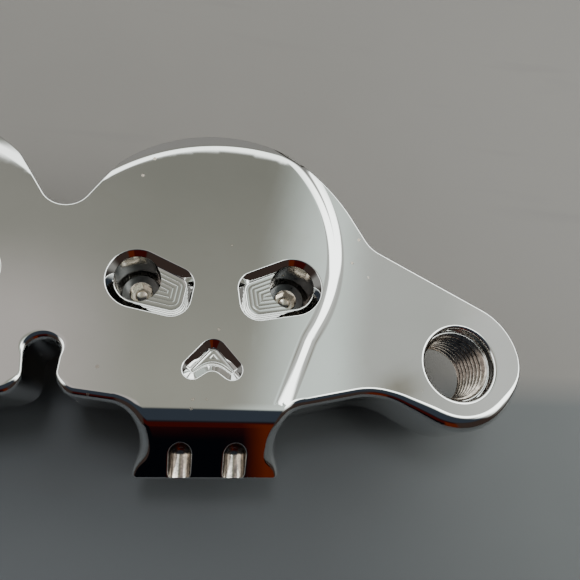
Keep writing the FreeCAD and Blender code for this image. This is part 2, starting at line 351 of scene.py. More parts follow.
def rounded(centre, radius, first, second, steps):
    """Rows of points and normals along a rolling ball's arc, from one face's normal to the other's."""
    normals = [turned(first, second, k / steps) for k in range(steps + 1)]
    return [centre + radius * normal for normal in normals], normals


def arc_profile(radius, height, size, start, end, count, sign=1):
    """Profile rows for turned_patch along an arc about a centre; sign -1 makes a fillet."""
    turns = [(math.cos(t), math.sin(t)) for t in np.linspace(start, end, count)]
    return [(radius + size * c, height + size * s, sign * c, sign * s) for c, s in turns]


def spokes(count):
    """Unit directions evenly around an axis."""
    angle = np.arange(count) * 2 * math.pi / count
    return np.stack([np.cos(angle), np.sin(angle)], 1)


def circle_points(x, y, radius, count):
    return np.array([x, y]) + radius * spokes(count)


def lifted(flat, height):
    """Flat points or directions with their third coordinate added."""
    return np.column_stack([flat, np.broadcast_to(height, len(flat))])


def wall_rows(flat, high, low, steps):
    """Rows straight down a wall, from its upper heights to its foot."""
    return [lifted(flat, high * (1 - k / steps) + low * k / steps) for k in range(steps + 1)]


# ---- jaw profile, measured along the skin ----

def jaw_profile():
    """Table of arc length, y, z and lean of the skin from the roll's start to the back face."""
    rows = [(0.0, JAW_ROLL_START, TOP, 0.0)]

    def bend(radius, start, end, steps):
        length, y, z, _ = rows[-1]
        centre_y, centre_z = y + radius * math.sin(start), z - radius * math.cos(start)
        for k in range(1, steps + 1):
            lean = start + (end - start) * k / steps
            place = (centre_y - radius * math.sin(lean), centre_z + radius * math.cos(lean))
            rows.append((length + radius * (lean - start), *place, lean))

    def straight(y, z, steps):
        length, from_y, from_z, lean = rows[-1]
        whole = math.hypot(y - from_y, z - from_z)
        for k in range(1, steps + 1):
            share = k / steps
            place = (from_y + (y - from_y) * share, from_z + (z - from_z) * share)
            rows.append((length + whole * share, *place, lean))

    bend(JAW_ROLL_RADIUS, 0.0, JAW_SLOPE, 24)
    _, y, z, _ = rows[-1]
    touch_y = JAW_BOTTOM + JAW_ROUND * (1 - math.sin(JAW_SLOPE))
    straight(touch_y, z - (y - touch_y) * math.tan(JAW_SLOPE), 24)
    bend(JAW_ROUND, JAW_SLOPE, math.pi / 2, 12)
    straight(JAW_BOTTOM, BACK_ROUND, 12)
    bend(BACK_ROUND, math.pi / 2, math.pi, 6)
    return np.array(rows)


PROFILE = jaw_profile()
PROFILE_END = JAW_ROLL_START - PROFILE[-1, 0]


def in_jaw(x, v):
    return (v < JAW_ROLL_START) & (np.abs(x - SKULL_X) < WAIST_HALF_WIDTH + COVE_RADIUS)


def unfold_y(x, y):
    """Skin coordinate v of a front-face point."""
    front = PROFILE[PROFILE[:, 3] < math.pi / 2 - 0.01]
    length = np.interp(-y, -front[:, 1], front[:, 0])
    return np.where(in_jaw(x, y), JAW_ROLL_START - length, y)


def fold(xv):
    """Points and normals of the front skin from x and the skin coordinate v."""
    x, v = xv[:, 0], xv[:, 1]
    length = JAW_ROLL_START - v
    jaw = in_jaw(x, v)
    y = np.where(jaw, np.interp(length, PROFILE[:, 0], PROFILE[:, 1]), v)
    lean = np.interp(length, PROFILE[:, 0], PROFILE[:, 3])
    flat = np.stack([x, y], 1)
    z = np.where(jaw, np.interp(length, PROFILE[:, 0], PROFILE[:, 2]), front_height(flat))
    bent = np.stack([np.zeros(len(x)), -np.sin(lean), np.cos(lean)], 1)
    normals = np.where(jaw[:, None], bent, surface_normals(front_height, flat))
    return np.stack([x, y, z], 1), normals


# ---- plate: side walls and rounded edges ----

def smooth_share(value, low, high):
    share = np.clip((value - low) / (high - low), 0, 1)
    return share * share * (3 - 2 * share)


def edge_round_at(walls, outward):
    """Front edge radius: tight towards the crowns, fuller under the ears and at the jaw's sides."""
    x, y = walls[:, 0], walls[:, 1]
    radius = FAR_ROUND + (NEAR_ROUND - FAR_ROUND) * smooth_share(-outward[:, 1], -0.2, 0.7)
    ear = smooth_share(x, 80.0, 94.0) * smooth_share(-outward[:, 1], 0.1, 0.8)
    radius = radius + (EAR_ROUND - NEAR_ROUND) * ear
    jaw = smooth_share(-y, 29.0, 33.5) * (np.abs(x - SKULL_X) < WAIST_HALF_WIDTH + 0.8 * COVE_RADIUS)
    radius = radius + (JAW_SIDE_ROUND - radius) * jaw
    return radius + (JAW_ROUND - radius) * smooth_share(-y, 37.0, 44.0) * (np.abs(x - SKULL_X) < 20)


def half_outline():
    parts = belt_parts(plate_circles(), 0.0, -math.pi)
    points, normals = belt_samples(parts, 0.7, math.radians(3.0))
    last = spot(ARCH, -math.pi)[None]
    return np.concatenate([points, last]), np.concatenate([normals, [[0.0, -1.0]]])


def edge_contact(walls, outward):
    """Where the edge's rolling ball touches the front face, its centre and the face normal there."""
    radius = edge_round_at(walls, outward)[:, None]
    centres = walls - radius * outward
    touch = centres.copy()
    for _ in range(8):
        face_normals = surface_normals(front_height, touch)
        touch = centres + radius * face_normals[:, :2]
    height = front_height(touch) - radius[:, 0] * face_normals[:, 2]
    return touch, lifted(centres, height), face_normals, radius


def wall_patch(skin, walls, outward):
    """Rounded front edge, side wall and rounded back edge along a run of the outline."""
    touch, centres, face_normals, radius = edge_contact(walls, outward)
    side = lifted(outward, 0.0)
    rows, leans = rounded(centres, radius, face_normals, side, 12)
    rows += wall_rows(walls, centres[:, 2], BACK_ROUND, 6)[1:]
    down = np.tile([0.0, 0.0, -1.0], (len(walls), 1))
    inner = lifted(walls - BACK_ROUND * outward, BACK_ROUND)
    back_rows, back_leans = rounded(inner, BACK_ROUND, side, down, 6)
    skin.grid(rows + back_rows[1:], leans + [side] * 6 + back_leans[1:])
    return touch


# ---- plate: pockets ----

def pocket_bends(depth, run):
    """Wall angle, and how far the rim's round and the floor's fillet reach beside the wall."""
    lean = math.atan2(depth, run)
    return lean, POCKET_LIP * math.tan(lean / 2), POCKET_FILLET * math.tan(lean / 2)


def pocket_drop(inside, depth, run, ridges):
    """Depth below the face against the distance inside the pocket's rim."""
    lean, lip, toe = pocket_bends(depth, run)
    top = POCKET_LIP - np.sqrt(np.maximum(POCKET_LIP ** 2 - (inside + lip) ** 2, 0))
    low = depth - POCKET_FILLET
    foot = low + np.sqrt(np.maximum(POCKET_FILLET ** 2 - (inside - run - toe) ** 2, 0))
    drop = np.where(inside < -lip, 0.0, top)
    drop = np.where(inside > lip * math.cos(lean), inside * math.tan(lean), drop)
    drop = np.where(inside > run - toe * math.cos(lean), foot, drop)
    drop = np.where(inside > run + toe, depth, drop)
    start, pitch, nose = ridges
    cut = (inside - start + pitch / 2) % pitch - pitch / 2
    scallop = nose - np.sqrt(nose * nose - cut * cut)
    return np.where(inside > start - pitch / 2, drop - scallop, drop)


def pocket_patch(skin, circles, depth, run, ridges, hole=None):
    """Pocket skin from its rounded rim to its floor. Returns the rim loop for the face's hole."""
    parts = belt_parts(circles)
    rim, outward = belt_samples(parts, 0.3, math.radians(5.0))
    lean, lip, toe = pocket_bends(depth, run)

    def height(xy):
        return TOP - pocket_drop(belt_inside(parts, xy), depth, run, ridges)

    levels = list(np.linspace(-lip, lip * math.cos(lean), 8)[1:])
    levels += list(np.linspace(lip * math.cos(lean), run - toe * math.cos(lean), 6)[1:])
    levels += list(np.linspace(run - toe * math.cos(lean), run + toe, 9)[1:])
    levels += list(np.arange(run + toe + RIDGE_STEP, run + toe + 4.5, RIDGE_STEP))
    loop = rim + lip * outward
    points = []
    for level in levels:
        ring = rim - level * outward
        points.append(ring[np.abs(belt_inside(parts, ring) - level) < 1e-3])
    points = np.concatenate(points)
    holes = []
    if hole is not None:
        edge = circle_points(*hole, 120)
        holes.append(edge)
        points = points[np.hypot(points[:, 0] - hole[0], points[:, 1] - hole[1]) > hole[2] + 0.03]
    found, tris = flat_fill(loop, holes, points)
    normals = surface_normals(height, found, 0.002)
    skin.add(lifted(found, height(found)), normals, tris)
    return loop, height


def counterbore_patch(skin, x, height):
    """Broken edge, wall, turned seat and clearance hole for one screw."""
    ring = circle_points(x, 0.0, BORE_RADIUS, 120)
    inward = -(ring - np.array([x, 0.0])) / BORE_RADIUS
    side = lifted(inward, 0.0)
    face = surface_normals(height, ring + 0.05 * -inward, 0.01)
    corner = lifted(ring, height(ring))
    scale = BORE_EDGE / (1 + (face * side).sum(1, keepdims=True))
    centre = corner - scale * (face + side)
    rows, leans = rounded(centre, BORE_EDGE, face, side, 4)
    foot = BORE_FLOOR + BORE_FILLET
    rows += wall_rows(ring, rows[-1][:, 2], foot, 8)[1:]
    skin.dark = HOLE_DARK
    skin.grid(rows, leans + [side] * 8, wrap=True)
    seat_in, seat_out = CLEARANCE_RADIUS + CLEARANCE_MOUTH, BORE_RADIUS - BORE_FILLET
    profile = arc_profile(seat_out, foot, BORE_FILLET, 0, -math.pi / 2, 6, -1)
    for k in range(1, 41):
        turning_mark = 0.05 * math.sin(k * 2.1)
        profile.append((seat_out + (seat_in - seat_out) * k / 40, BORE_FLOOR, turning_mark, 1.0))
    low, wide = BORE_FLOOR - CLEARANCE_MOUTH, CLEARANCE_RADIUS + CLEARANCE_EXIT
    profile += [(seat_in, BORE_FLOOR, -0.7, 0.7), (CLEARANCE_RADIUS, low, -0.7, 0.7)]
    profile += [(CLEARANCE_RADIUS, low, -1, 0), (CLEARANCE_RADIUS, CLEARANCE_EXIT, -1, 0)]
    profile += [(CLEARANCE_RADIUS, CLEARANCE_EXIT, -0.7, -0.7), (wide, 0.0, -0.7, -0.7)]
    turned_patch(skin, x, 0.0, profile, 120)
    skin.dark = POLISHED
    return circle_points(x, 0.0, wide, 120)


def turned_patch(skin, x, y, profile, columns):
    """Surface of revolution from rows of radius, height and normal in that plane."""
    profile = np.array(profile, float)
    across = spokes(columns)
    size = np.hypot(profile[:, 2], profile[:, 3])
    points = np.zeros((len(profile), columns, 3))
    normals = np.zeros_like(points)
    points[:, :, :2] = profile[:, 0, None, None] * across + np.array([x, y])
    points[:, :, 2] = profile[:, 1, None]
    normals[:, :, :2] = (profile[:, 2] / size)[:, None, None] * across
    normals[:, :, 2] = (profile[:, 3] / size)[:, None]
    skin.grid(points, normals, wrap=True)


# ---- plate: threaded ear hole ----

def thread_share(phase):
    """0 on the crest flat and 1 in the root, with slightly rounded corners."""
    away = np.abs((phase + 0.5) % 1.0 - 0.5)
    share = np.clip((away - 0.125) / 0.3125, 0, 1)
    return share * share * (3 - 2 * share) * 0.35 + share * 0.65


def thread_patch(skin, x, y, low, high, pitch, radius_at, outside, columns=128, fine=14):
    """Helical skin between two heights; radius_at gives the radius from thread phase and height."""
    turn = np.arange(columns + 1) / columns
    steps = np.arange(0, math.ceil((high - low) / pitch * fine) + fine + 1) / fine
    heights = low + pitch * (steps[:, None] - 1 + turn[None])
    heights = np.clip(heights, low, high)
    phase = (heights - low) / pitch - turn[None]
    radius = radius_at(phase, heights)
    above = radius_at(phase + 0.01, heights + 0.01 * pitch)
    slope = (above - radius_at(phase - 0.01, heights - 0.01 * pitch)) / (0.02 * pitch)
    angle = 2 * math.pi * np.broadcast_to(turn, heights.shape)
    points = np.stack([x + radius * np.cos(angle), y + radius * np.sin(angle), heights], -1)
    sign = 1.0 if outside else -1.0
    normals = unit(np.stack([sign * np.cos(angle), sign * np.sin(angle), -sign * slope], -1))
    skin.grid(points, normals)


def ear_hole_patch(skin):
    """Rounded mouth, recess, ledge, helical thread and chamfered exit."""
    face = TOP - EAR_STEP
    ledge = face - RECESS_DEPTH
    mouth = RECESS_RADIUS + MOUTH_ROUND
    foot = (RECESS_RADIUS - RECESS_FILLET, ledge + RECESS_FILLET, RECESS_FILLET)
    profile = arc_profile(mouth, face - MOUTH_ROUND, MOUTH_ROUND, math.pi / 2, math.pi, 16)
    profile += arc_profile(*foot, 0, -math.pi / 2, 6, -1)
    profile += [(THREAD_MINOR + LEDGE_CHAMFER, ledge, 0, 1)]
    turned_patch(skin, EAR_X, EAR_Y, profile, 160)
    skin.dark = THREAD_DARK

    def radius_at(phase, heights):
        cut = THREAD_MINOR + THREAD_DEPTH * thread_share(phase)
        entry_cone = THREAD_MINOR + LEDGE_CHAMFER - (ledge - heights)
        exit_cone = THREAD_MINOR + EXIT_CHAMFER - heights
        return np.maximum(np.maximum(cut, entry_cone), exit_cone)

    thread_patch(skin, EAR_X, EAR_Y, 0.0, ledge, THREAD_PITCH, radius_at, False, 160)
    skin.dark = POLISHED
    rim = circle_points(EAR_X, EAR_Y, mouth, 160)
    return rim, circle_points(EAR_X, EAR_Y, THREAD_MINOR + EXIT_CHAMFER, 160)


# ---- plate: flutes ----

def flute_patch(skin, x):
    """Rounded mouth, walls and ball-nosed bed of one flute. Returns its loop on the skin."""
    centre_y, centre_z = FLUTE_TOP - FLUTE_RADIUS, FLUTE_FLOOR + FLUTE_RADIUS
    falling = PROFILE[PROFILE[:, 3] < math.pi - 0.01]

    def length_at(z):
        return np.interp(-z, -falling[:, 2], falling[:, 0])

    top_v = float(unfold_y(np.array([x]), np.array([centre_y]))[0])
    turn = np.linspace(0, math.pi / 2, 15)
    arc_v = JAW_ROLL_START - length_at(centre_z - FLUTE_RADIUS * np.cos(turn))
    rise_v = np.linspace(arc_v[-1], top_v, 16)[1:]
    bow = np.linspace(0, math.pi, 49)[1:-1]
    bow_y = centre_y + FLUTE_RADIUS * np.sin(bow)
    bow_v = unfold_y(np.full(len(bow), x), bow_y)
    side_v = np.concatenate([arc_v, rise_v])
    side_x = np.concatenate([FLUTE_RADIUS * np.sin(turn), np.full(len(rise_v), FLUTE_RADIUS)])
    side_turn = np.concatenate([turn, np.full(len(rise_v), math.pi / 2)])
    offset = np.concatenate([side_x, FLUTE_RADIUS * np.cos(bow), -side_x[::-1]])
    skin_v = np.concatenate([side_v, bow_v, side_v[::-1]])
    zero = np.zeros(len(side_x))
    right = np.stack([-np.sin(side_turn), zero, np.cos(side_turn)], 1)
    round_end = np.stack([-np.cos(bow), -np.sin(bow), np.zeros(len(bow))], 1)
    left = right[::-1] * np.array([-1.0, 1.0, 1.0])
    bed = np.concatenate([right, round_end, left])
    xv = np.stack([x + offset, skin_v], 1)
    place, face = fold(xv)
    scale = FLUTE_ROUND / (1 + (face * bed).sum(1, keepdims=True))
    centre = place - scale * (face + bed)
    rows, leans = rounded(centre, FLUTE_ROUND, face, bed, 6)
    skin.grid(rows, leans)
    along = np.stack([np.zeros(len(face)), face[:, 2], -face[:, 1]], 1)
    shift = rows[0] - place
    loop = np.stack([xv[:, 0] + shift[:, 0], xv[:, 1] + (shift * along).sum(1)], 1)

    wall_length = PROFILE[PROFILE[:, 3] > math.pi / 2 - 1e-6][0, 0]
    first = int(np.sum(arc_v < JAW_ROLL_START - wall_length)) - 1
    chosen = slice(first, len(offset) - first)
    lower = rows[-1][chosen]
    direction = -bed[chosen, :2]
    straight = np.abs(direction[:, 1]) < 1e-9
    direction = np.where(straight[:, None], np.sign(direction * [1, 0]), direction)
    base = np.stack([np.full(len(lower), x), np.where(straight, lower[:, 1], centre_y)], 1)
    below = np.clip((centre_z - lower[:, 2]) / FLUTE_RADIUS, 0, 1)
    quarter = FLUTE_RADIUS * math.pi / 2
    on_wall = quarter + lower[:, 2] - centre_z
    reach = np.where(lower[:, 2] > centre_z, on_wall, FLUTE_RADIUS * np.arccos(below))
    points, normals = [], []
    for k in range(25):
        run = reach * (1 - k / 24)
        lean = np.minimum(run / FLUTE_RADIUS, math.pi / 2)
        flat = base + direction * (FLUTE_RADIUS * np.sin(lean))[:, None]
        points.append(lifted(flat, centre_z - FLUTE_RADIUS * np.cos(lean) + np.maximum(run - quarter, 0)))
        normals.append(lifted(-direction * np.sin(lean)[:, None], np.cos(lean)))
    skin.dark = FLUTE_DARK
    skin.grid(points, normals)
    skin.dark = POLISHED
    return loop


# ---- plate: front face and back face ----

def ring_rows(parts, levels, spacing):
    """Points on lines parallel to a belt, so the mesh follows that feature."""
    points, outward = belt_samples(parts, spacing, math.radians(6.0))
    return np.concatenate([points + level * outward for level in levels])


def face_points():
    """Extra skin points: dense along the step, the brow crease and the jaw roll, sparse elsewhere."""
    step = ring_rows(STEP_PARTS, np.linspace(-2.6, 2.6, 23), 0.6)
    step = step[step[:, 0] > 30]
    angle = np.arange(0.2, 2.6, 0.6 / BROW_RADIUS)
    offsets = [-0.9, -0.6, -0.4, -0.25, -0.12, 0.0, 0.12, 0.25, 0.4, 0.6, 0.9, 1.3, 1.8]
    brow = np.concatenate([
        np.stack([BROW_X + (BROW_RADIUS + k) * np.cos(angle), BROW_Y + (BROW_RADIUS + k) * np.sin(angle)], 1)
        for k in offsets
    ])
    brow = brow[brow[:, 1] > BROW_FROM_Y]
    across = np.arange(SKULL_X - 23, SKULL_X + 23, 0.9)
    down = np.arange(JAW_ROLL_START, PROFILE_END, -0.35)
    jaw = np.array([(x, v) for x in across for v in down])
    grid = np.array([(x, y) for x in np.arange(0.6, 116, 1.1) for y in np.arange(-29, 41, 1.1)])
    far = np.abs(belt_inside(STEP_PARTS, grid)) > 3.0
    far &= np.abs(np.hypot(grid[:, 0] - BROW_X, grid[:, 1] - BROW_Y) - BROW_RADIUS) > 2.0
    return np.concatenate([step, brow, jaw, grid[far]])


def plate_skin():
    """Whole plate: right half from its patches, then mirrored to the left."""
    skin = Skin()
    walls, outward = half_outline()
    bottom = (walls[:, 1] < JAW_BOTTOM + 1e-6) & (np.abs(walls[:, 0] - SKULL_X) < JAW_HALF_WIDTH)
    bottom_at = np.flatnonzero(bottom)
    before, after = bottom_at[0], bottom_at[-1]
    touch_before = wall_patch(skin, walls[: before + 1], outward[: before + 1])
    touch_after = wall_patch(skin, walls[after:], outward[after:])
    contact = np.concatenate([touch_before, touch_after])
    contact_v = np.stack([contact[:, 0], unfold_y(contact[:, 0], contact[:, 1])], 1)
    split = len(touch_before)
    stops = np.arange(0, 1, 0.04)
    right, left = contact_v[split - 1], np.array([contact_v[split, 0], contact_v[split - 1, 1]])
    low_right, low_left = np.array([right[0], PROFILE_END]), np.array([left[0], PROFILE_END])
    corners = [right, low_right, low_left, left]
    sides = [start + stops[:, None] * (end - start) for start, end in zip(corners, corners[1:])]
    loop = np.concatenate([contact_v[:split], sides[0][1:], *sides[1:], contact_v[split:]])

    holes, exits = [], []
    hole_radius = BORE_RADIUS + 0.6 * BORE_EDGE
    for side in (1, -1):
        x = SKULL_X + side * EYE_OFFSET
        circles = [(SKULL_X + side * c[0], *c[1:]) for c in (EYE_BIG, EYE_LOBE, EYE_CORNER)[::side]]
        hole = (x, 0.0, hole_radius)
        rim, height = pocket_patch(skin, circles, EYE_DEPTH, EYE_RUN, EYE_RIDGES, hole)
        holes.append(rim)
        exits.append(counterbore_patch(skin, x, height))
        holes.append(flute_patch(skin, SKULL_X + side * FLUTE_OFFSET))
    nose = [(SKULL_X + x, y, radius, side) for x, y, radius, side in NOSE_CIRCLES]
    holes.append(pocket_patch(skin, nose, NOSE_DEPTH, NOSE_RUN, NOSE_RIDGES)[0])
    mouth, ear_exit = ear_hole_patch(skin)
    holes.append(mouth)
    exits.append(ear_exit)

    inner = face_points()
    keep = inside_loop(loop, inner)
    for hole in holes:
        keep &= ~inside_loop(hole, inner)
    edges = np.concatenate([loop] + holes)
    inner = inner[keep]
    near = np.array([np.min(np.hypot(*(edges - p).T)) for p in inner])
    inner = inner[near > 0.22]
    found, tris = flat_fill(loop, holes, inner)
    points, normals = fold(found)
    skin.add(points, normals, tris)

    back = walls - BACK_ROUND * outward
    inner = np.array([(x, y) for x in np.arange(3.0, 112, 8.0) for y in np.arange(-40, 36, 8.0)])
    inner = inner[inside_loop(back, inner)]
    for hole in exits:
        inner = inner[~inside_loop(hole, inner)]
    found, tris = flat_fill(back, exits, inner)
    skin.add(lifted(found, 0.0), np.tile([0.0, 0.0, -1.0], (len(found), 1)), tris)
    skin.mirrored()
    return skin


# ---- screws ----

SCREW_X = [side * SKULL_X + way * EYE_OFFSET for side in (-1, 1) for way in (-1, 1)]
SCREW_NAMES = ("screw_left_outer", "screw_left_inner", "screw_right_inner", "screw_right_outer")
HEAD_RADIUS, HEAD_BASE, HEAD_TOP = 5.0, BORE_FLOOR, 7.0
HEAD_EDGE, HEAD_CHAMFER, KNURL_FADE = 0.35, 0.4, 0.25
SOCKET_FLATS, SOCKET_DEPTH, SOCKET_MOUTH, SOCKET_SLOPE = 5.0, 2.3, 3.0, math.radians(40.0)
GUIDE_RADIUS, GUIDE_DEPTH, GUIDE_MOUTH, SOCKET_DISH, GUIDE_LIP = 1.4, 3.1, 0.3, 0.12, 0.4
SHANK_RADIUS, SHANK_TIP, SHANK_TOP, SHANK_CHAMFER = 3.0, -13.0, -0.4, 0.7
SHANK_NECK, SHANK_PITCH, SHANK_THREAD, NECK_FILLET = 2.65, 1.0, 0.55, 0.2
KNURL_COUNT, KNURL_DEPTH = 48, 0.13


def socket_radius(angle):
    """Distance from the axis to the hexagon's wall in each direction."""
    away = (angle + math.pi / 6) % (math.pi / 3) - math.pi / 6
    return SOCKET_FLATS / 2 / np.cos(away)


def mouth_height(radius):
    """Height of the socket's conical mouth at a distance from the axis."""
    return HEAD_TOP - (SOCKET_MOUTH - radius) * math.tan(SOCKET_SLOPE)


def around_axis(x, radius, across, height):
    """Row of points around a screw's axis, one per direction across it."""
    return lifted(np.array([x, 0.0]) + radius[:, None] * across, height)


def screw_skin(x):
    """Socket cap screw: turned head, knurled rim, hex socket, neck and helical thread."""
    skin = Skin()
    skin.dark = THREAD_DARK
    top = []
    for k in range(25):
        radius = HEAD_RADIUS - HEAD_EDGE - (HEAD_RADIUS - HEAD_EDGE - SOCKET_MOUTH) * k / 24
        top.append((radius, HEAD_TOP, 0.03 * math.sin(k * 2.3), 1.0))
    edge = arc_profile(HEAD_RADIUS - HEAD_EDGE, HEAD_TOP - HEAD_EDGE, HEAD_EDGE, 0, math.pi / 2, 7)
    turned_patch(skin, x, 0.0, edge + top[1:], 96)

    angle = np.arange(KNURL_COUNT * 8) * 2 * math.pi / (KNURL_COUNT * 8)
    wave = (1 - np.abs(np.cos(angle * KNURL_COUNT / 2)) ** 3) * KNURL_DEPTH
    bend = np.gradient(wave, angle) / HEAD_RADIUS
    across = spokes(KNURL_COUNT * 8)
    around = np.stack([-across[:, 1], across[:, 0]], 1)
    side_top, side_low = HEAD_TOP - HEAD_EDGE, HEAD_BASE + HEAD_CHAMFER
    high, low = side_top - KNURL_FADE, side_low + KNURL_FADE
    rows, leans = [], []
    for z, share in ((side_top, 0.0), (high, 1.0), (low, 1.0), (side_low, 0.0)):
        rows.append(around_axis(x, HEAD_RADIUS - wave * share, across, z))
        lean = across + around * (bend * share)[:, None]
        leans.append(unit(lifted(lean, 0.0)))
    skin.grid(rows, leans, wrap=True)
    seat_out, seat_in = HEAD_RADIUS - HEAD_CHAMFER, SHANK_NECK + NECK_FILLET
    neck = [(HEAD_RADIUS, side_low, 0.7, -0.7), (seat_out, HEAD_BASE, 0.7, -0.7)]
    neck += [(seat_out, HEAD_BASE, 0, -1), (seat_in, HEAD_BASE, 0, -1)]
    neck += [(seat_in, HEAD_BASE, 0.7, -0.7), (SHANK_NECK, HEAD_BASE - NECK_FILLET, 1, 0)]
    neck += [(SHANK_NECK, SHANK_TOP, 1, 0)]
    turned_patch(skin, x, 0.0, neck, 64)

    def radius_at(phase, heights):
        ridge = SHANK_RADIUS - SHANK_THREAD * thread_share(phase)
        tip = SHANK_RADIUS - SHANK_CHAMFER + (heights - SHANK_TIP)
        run_out = SHANK_NECK + (SHANK_TOP - heights) * 0.7
        return np.minimum(np.minimum(ridge, tip), np.maximum(run_out, SHANK_NECK - NECK_FILLET))

    thread_patch(skin, x, 0.0, SHANK_TIP, SHANK_TOP, SHANK_PITCH, radius_at, True, 72, 12)
    end = SHANK_RADIUS - SHANK_CHAMFER
    tip = [(end * (1 - k / 12), SHANK_TIP, 0.02 * math.sin(k * 3.1), -1) for k in range(12)]
    turned_patch(skin, x, 0.0, tip + [(0.01, SHANK_TIP, 0, -1)], 64)

    skin.dark = POLISHED
    turn = np.arange(96) * 2 * math.pi / 96
    hexagon = socket_radius(turn)
    across = spokes(96)
    mouth_rows = []
    lean = lifted(-across * math.sin(SOCKET_SLOPE), math.cos(SOCKET_SLOPE))
    for k in range(5):
        radius = SOCKET_MOUTH + (hexagon - SOCKET_MOUTH) * k / 4
        mouth_rows.append(around_axis(x, radius, across, mouth_height(radius)))
    skin.grid(mouth_rows, [lean] * 5, wrap=True)
    floor_z = HEAD_TOP - SOCKET_DEPTH
    for facet in range(6):
        middle = facet * math.pi / 3
        away = np.linspace(-math.pi / 6, math.pi / 6, 9)
        radius = socket_radius(away)
        flat = np.stack([x + radius * np.cos(middle + away), radius * np.sin(middle + away)], 1)
        inward = np.array([-math.cos(middle), -math.sin(middle), 0.0])
        skin.grid(wall_rows(flat, mouth_height(radius), floor_z, 6), np.tile(inward, (7, 9, 1)))
    floor_rows = []
    for k in range(7):
        radius = hexagon + (GUIDE_RADIUS + GUIDE_MOUTH - hexagon) * k / 6
        floor_rows.append(around_axis(x, radius, across, floor_z - SOCKET_DISH * k / 6))
    skin.grid(floor_rows, np.tile([0.0, 0.0, 1.0], (7, len(turn), 1)), wrap=True)
    guide_top, guide_floor = floor_z - GUIDE_LIP, HEAD_TOP - GUIDE_DEPTH
    guide = [(GUIDE_RADIUS + GUIDE_MOUTH, floor_z - SOCKET_DISH, -0.6, 0.8)]
    guide += [(GUIDE_RADIUS, guide_top, -0.9, 0.4), (GUIDE_RADIUS, guide_top, -1, 0)]
    guide += [(GUIDE_RADIUS, guide_floor, -1, 0), (GUIDE_RADIUS, guide_floor, -0.3, 1)]
    guide += [(0.01, guide_floor, 0, 1)]
    turned_patch(skin, x, 0.0, guide, 48)
    return skin


# ---- materials ----

class Nodes:
    """Small helper that adds shader nodes and links them by socket name."""

    def __init__(self, name):
        self.material = bpy.data.materials.new(name)
        self.material.use_nodes = True
        self.tree = self.material.node_tree
        self.shader = self.tree.nodes["Principled BSDF"]

    def feed(self, socket, value):
        """Link a socket to another one, or set it to a plain value; colours get full alpha."""
        if isinstance(value, bpy.types.NodeSocket):
            self.tree.links.new(value, socket)
        else:
            socket.default_value = (*value, 1) if socket.type == "RGBA" else value

    def node(self, kind, **sockets):
        """New node; keys are input names, i and an input's number, or settings of the node."""
        made = self.tree.nodes.new(kind)
        for key, value in sockets.items():
            if key[0] == "i" and key[1:].isdigit():
                self.feed(made.inputs[int(key[1:])], value)
            elif key in made.inputs:
                self.feed(made.inputs[key], value)
            else:
                setattr(made, key, value)
        return made

    def place(self, scale):
        coords = self.node("ShaderNodeTexCoord").outputs["Object"]
        return self.node("ShaderNodeMapping", Vector=coords, Scale=scale).outputs[0]

    def noise(self, scale, detail=3.0, rough=0.5, stretch=(1, 1, 1)):
        settings = {"Scale": scale, "Detail": detail, "Roughness": rough}
        return self.node("ShaderNodeTexNoise", Vector=self.place(stretch), **settings).outputs["Fac"]

    def ramp(self, value, *stops):
        """Map a value through colour stops given as (place, colour)."""
        made = self.node("ShaderNodeValToRGB", Fac=value)
        elements = made.color_ramp.elements
        elements[0].position, elements[0].color = stops[0][0], (*stops[0][1], 1)
        elements[1].position, elements[1].color = stops[-1][0], (*stops[-1][1], 1)
        for place, colour in stops[1:-1]:
            element = elements.new(place)
            element.color = (*colour, 1)
        return made.outputs["Color"]

    def grey(self, value, low, high, start=0.0, end=1.0):
        """Stretch a value's range from low to high over start to end."""
        made = self.node("ShaderNodeMapRange", i0=value, i1=low, i2=high, i3=start, i4=end)
        return made.outputs[0]

    def blend(self, share, first, second):
        made = self.node("ShaderNodeMix", data_type="RGBA", i0=share, i6=first, i7=second)
        return made.outputs[2]

    def total(self, first, second, kind="ADD"):
        return self.node("ShaderNodeMath", operation=kind, i0=first, i1=second).outputs[0]

    def times(self, first, second):
        return self.total(first, second, "MULTIPLY")

    def relief(self, height, strength, distance):
        made = self.node("ShaderNodeBump", Height=height, Strength=strength, Distance=distance)
        self.tree.links.new(made.outputs[0], self.shader.inputs["Normal"])

    def set(self, **values):
        for key, value in values.items():
            self.feed(self.shader.inputs[key.replace("_", " ")], value)


